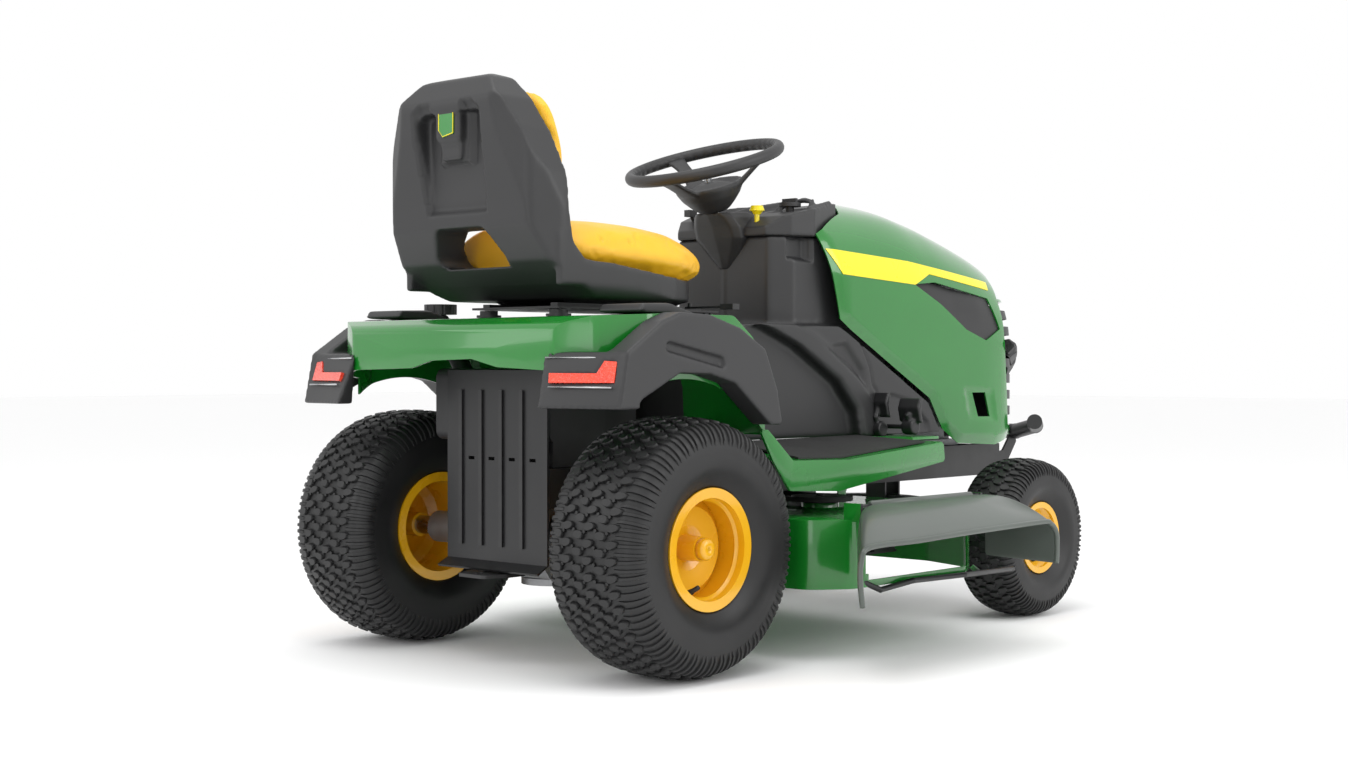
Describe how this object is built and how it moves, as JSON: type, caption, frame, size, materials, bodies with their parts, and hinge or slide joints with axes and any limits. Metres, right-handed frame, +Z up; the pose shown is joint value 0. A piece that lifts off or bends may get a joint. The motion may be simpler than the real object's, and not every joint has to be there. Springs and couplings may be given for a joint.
{
  "type": "riding lawn mower",
  "caption": "Riding lawn mower with a side-discharge deck, tilting hood, sliding seat and steered front wheels.",
  "frame": {"origin": "on the ground, midway between the rear tyres' contact patches, under the rear axle", "axes": "+Y towards the rear (the machine faces -Y), +X towards the operator's left, +Z up"},
  "size_m": [1.282, 1.9911, 1.1883],
  "materials": {
    "green_plastic": "glossy",
    "green_metal": "glossy",
    "dark_plastic": "satin",
    "black_metal": "satin",
    "yellow_paint": "glossy",
    "yellow_plastic": "glossy",
    "seat_vinyl": "satin",
    "tyre_rubber": "matte",
    "mat_rubber": "matte",
    "bright_steel": "satin",
    "alloy": "satin",
    "lens_red": "glossy",
    "lens_clear": "glossy"
  },
  "bodies": {
    "chassis": {"frame_rails": "black_metal", "rear_plate": "black_metal", "hitch_plate": "black_metal", "transaxle": "alloy", "engine_block": "alloy", "engine_shroud": "dark_plastic", "muffler": "black_metal", "battery": "dark_plastic", "fuel_tank": "dark_plastic", "fuel_cap": "dark_plastic", "fender_deck": "green_plastic", "fender_trim_right": "dark_plastic", "fender_trim_left": "dark_plastic", "tail_lenses": "lens_red", "seat_springs": "dark_plastic", "running_boards": "green_metal", "floor_mats": "mat_rubber", "pedestal": "dark_plastic", "dash_console": "dark_plastic", "column_collar": "dark_plastic", "front_bumper": "black_metal"},
    "rear_wheel_right": {"rear_tyre_right": "tyre_rubber", "rear_rim_right": "yellow_paint", "rear_axle_right": "bright_steel"},
    "rear_wheel_left": {"rear_tyre_left": "tyre_rubber", "rear_rim_left": "yellow_paint", "rear_axle_left": "bright_steel"},
    "front_axle": {"axle_beam": "black_metal"},
    "spindle_right": {"front_spindle_right": "black_metal"},
    "spindle_left": {"front_spindle_left": "black_metal"},
    "front_wheel_right": {"front_tyre_right": "tyre_rubber", "front_rim_right": "yellow_paint"},
    "front_wheel_left": {"front_tyre_left": "tyre_rubber", "front_rim_left": "yellow_paint"},
    "tie_rod": {"tie_rod": "bright_steel"},
    "drag_link": {"drag_link": "bright_steel"},
    "steering": {"steering_wheel": "dark_plastic", "steering_shaft": "bright_steel"},
    "steering_sector": {"steering_sector": "bright_steel"},
    "hood": {"hood_shell": "green_plastic", "hood_grille": "dark_plastic", "headlamps": "lens_clear", "hood_side_vents": "dark_plastic", "hood_stripes": "yellow_plastic"},
    "seat_base": {"seat_bracket": "black_metal"},
    "seat": {"seat_shell": "dark_plastic", "seat_cushion": "seat_vinyl", "seat_back_cushion": "seat_vinyl"},
    "seat_lever": {"seat_adjust_lever": "black_metal"},
    "forward_pedal": {"forward_pedal": "black_metal"},
    "reverse_pedal": {"reverse_pedal": "black_metal"},
    "brake_pedal": {"brake_pedal": "black_metal"},
    "height_dial": {"height_dial": "dark_plastic"},
    "pto_knob": {"pto_knob": "yellow_plastic"},
    "throttle_lever": {"throttle_lever": "dark_plastic"},
    "deck": {"deck_shell": "green_metal", "deck_belt": "mat_rubber"},
    "discharge_chute": {"discharge_chute": "dark_plastic"},
    "blade_right": {"blade_right": "black_metal"},
    "blade_left": {"blade_left": "black_metal"}
  },
  "joints": [
    {"name": "rear_wheel_right_spin", "type": "hinge", "parent": "chassis", "child": "rear_wheel_right", "pos_m": [-0.3926, 0, 0.254], "axis": [1, 0, 0], "continuous": true},
    {"name": "rear_wheel_left_spin", "type": "hinge", "parent": "chassis", "child": "rear_wheel_left", "pos_m": [0.3926, 0, 0.254], "axis": [1, 0, 0], "continuous": true},
    {"name": "front_axle_rock", "type": "hinge", "parent": "chassis", "child": "front_axle", "pos_m": [0, -1.242, 0.244], "axis": [0, 1, 0], "range_deg": [-7, 7]},
    {"name": "left_spindle_steer", "type": "hinge", "parent": "front_axle", "child": "spindle_left", "pos_m": [0.318, -1.242, 0.25], "axis": [0, 0, 1], "range_deg": [-35, 35]},
    {"name": "right_spindle_steer", "type": "hinge", "parent": "front_axle", "child": "spindle_right", "pos_m": [-0.318, -1.242, 0.25], "axis": [0, 0, 1], "range_deg": [-35, 35]},
    {"name": "front_wheel_right_spin", "type": "hinge", "parent": "spindle_right", "child": "front_wheel_right", "pos_m": [-0.41, -1.242, 0.1905], "axis": [1, 0, 0], "continuous": true},
    {"name": "front_wheel_left_spin", "type": "hinge", "parent": "spindle_left", "child": "front_wheel_left", "pos_m": [0.41, -1.242, 0.1905], "axis": [1, 0, 0], "continuous": true},
    {"name": "tie_rod_pivot", "type": "hinge", "parent": "spindle_left", "child": "tie_rod", "pos_m": [0.318, -1.342, 0.187], "axis": [0, 0, 1], "range_deg": [-35, 35]},
    {"name": "drag_link_pivot", "type": "hinge", "parent": "spindle_left", "child": "drag_link", "pos_m": [0.318, -1.342, 0.29], "axis": [0, 0, 1], "range_deg": [-35, 35]},
    {"name": "steering_wheel_turn", "type": "hinge", "parent": "chassis", "child": "steering", "pos_m": [0, -0.541, 1.073], "axis": [0, 0.3156, 0.9489], "range_deg": [-245, 245]},
    {"name": "steering_sector_turn", "type": "hinge", "parent": "chassis", "child": "steering_sector", "pos_m": [0.062, -1.05, 0.33], "axis": [0, 0, 1], "range_deg": [-35, 35]},
    {"name": "hood_tilt", "type": "hinge", "parent": "chassis", "child": "hood", "pos_m": [0, -1.6, 0.47], "axis": [1, 0, 0], "range_deg": [0, 45]},
    {"name": "seat_tilt", "type": "hinge", "parent": "chassis", "child": "seat_base", "pos_m": [0, -0.455, 0.718], "axis": [1, 0, 0], "range_deg": [0, 28]},
    {"name": "seat_slide", "type": "slide", "parent": "seat_base", "child": "seat", "axis": [0, 1, 0], "range_m": [-0.05, 0.05]},
    {"name": "seat_lever_pull", "type": "hinge", "parent": "seat", "child": "seat_lever", "pos_m": [-0.145, -0.327, 0.731], "axis": [0, 0, 1], "range_deg": [0, 12], "stiffness_Nm_per_rad": 1.5},
    {"name": "forward_pedal_press", "type": "hinge", "parent": "chassis", "child": "forward_pedal", "pos_m": [-0.2, -0.9, 0.456], "axis": [1, 0, 0], "range_deg": [0, 15], "stiffness_Nm_per_rad": 6},
    {"name": "reverse_pedal_press", "type": "hinge", "parent": "chassis", "child": "reverse_pedal", "pos_m": [-0.2, -0.934, 0.462], "axis": [1, 0, 0], "range_deg": [0, 15], "stiffness_Nm_per_rad": 6},
    {"name": "brake_pedal_press", "type": "hinge", "parent": "chassis", "child": "brake_pedal", "pos_m": [0.2, -0.9, 0.456], "axis": [1, 0, 0], "range_deg": [0, 15], "stiffness_Nm_per_rad": 6},
    {"name": "height_dial_turn", "type": "hinge", "parent": "chassis", "child": "height_dial", "pos_m": [-0.112, -0.715, 0.98], "axis": [0, 0, 1], "range_deg": [0, 270]},
    {"name": "pto_knob_pull", "type": "slide", "parent": "chassis", "child": "pto_knob", "axis": [0, 0, 1], "range_m": [0, 0.012]},
    {"name": "throttle_move", "type": "hinge", "parent": "chassis", "child": "throttle_lever", "pos_m": [0.124, -0.672, 0.912], "axis": [1, 0, 0], "range_deg": [0, 40]},
    {"name": "deck_lift", "type": "slide", "parent": "chassis", "child": "deck", "axis": [0, 0, 1], "range_m": [-0.09, 0]},
    {"name": "chute_flip", "type": "hinge", "parent": "deck", "child": "discharge_chute", "pos_m": [-0.552, -0.6, 0.318], "axis": [0, 1, 0], "range_deg": [0, 70], "stiffness_Nm_per_rad": 1.2},
    {"name": "blade_right_spin", "type": "hinge", "parent": "deck", "child": "blade_right", "pos_m": [-0.266, -0.632, 0.175], "axis": [0, 0, 1], "continuous": true},
    {"name": "blade_left_spin", "type": "hinge", "parent": "deck", "child": "blade_left", "pos_m": [0.266, -0.632, 0.175], "axis": [0, 0, 1], "continuous": true}
  ],
  "couplings": [
    {"joint": "right_spindle_steer", "follows": "left_spindle_steer", "ratio": 1},
    {"joint": "tie_rod_pivot", "follows": "left_spindle_steer", "ratio": -1},
    {"joint": "drag_link_pivot", "follows": "left_spindle_steer", "ratio": -1},
    {"joint": "steering_wheel_turn", "follows": "left_spindle_steer", "ratio": 7},
    {"joint": "steering_sector_turn", "follows": "left_spindle_steer", "ratio": 1},
    {"joint": "blade_left_spin", "follows": "blade_right_spin", "ratio": 1}
  ]
}
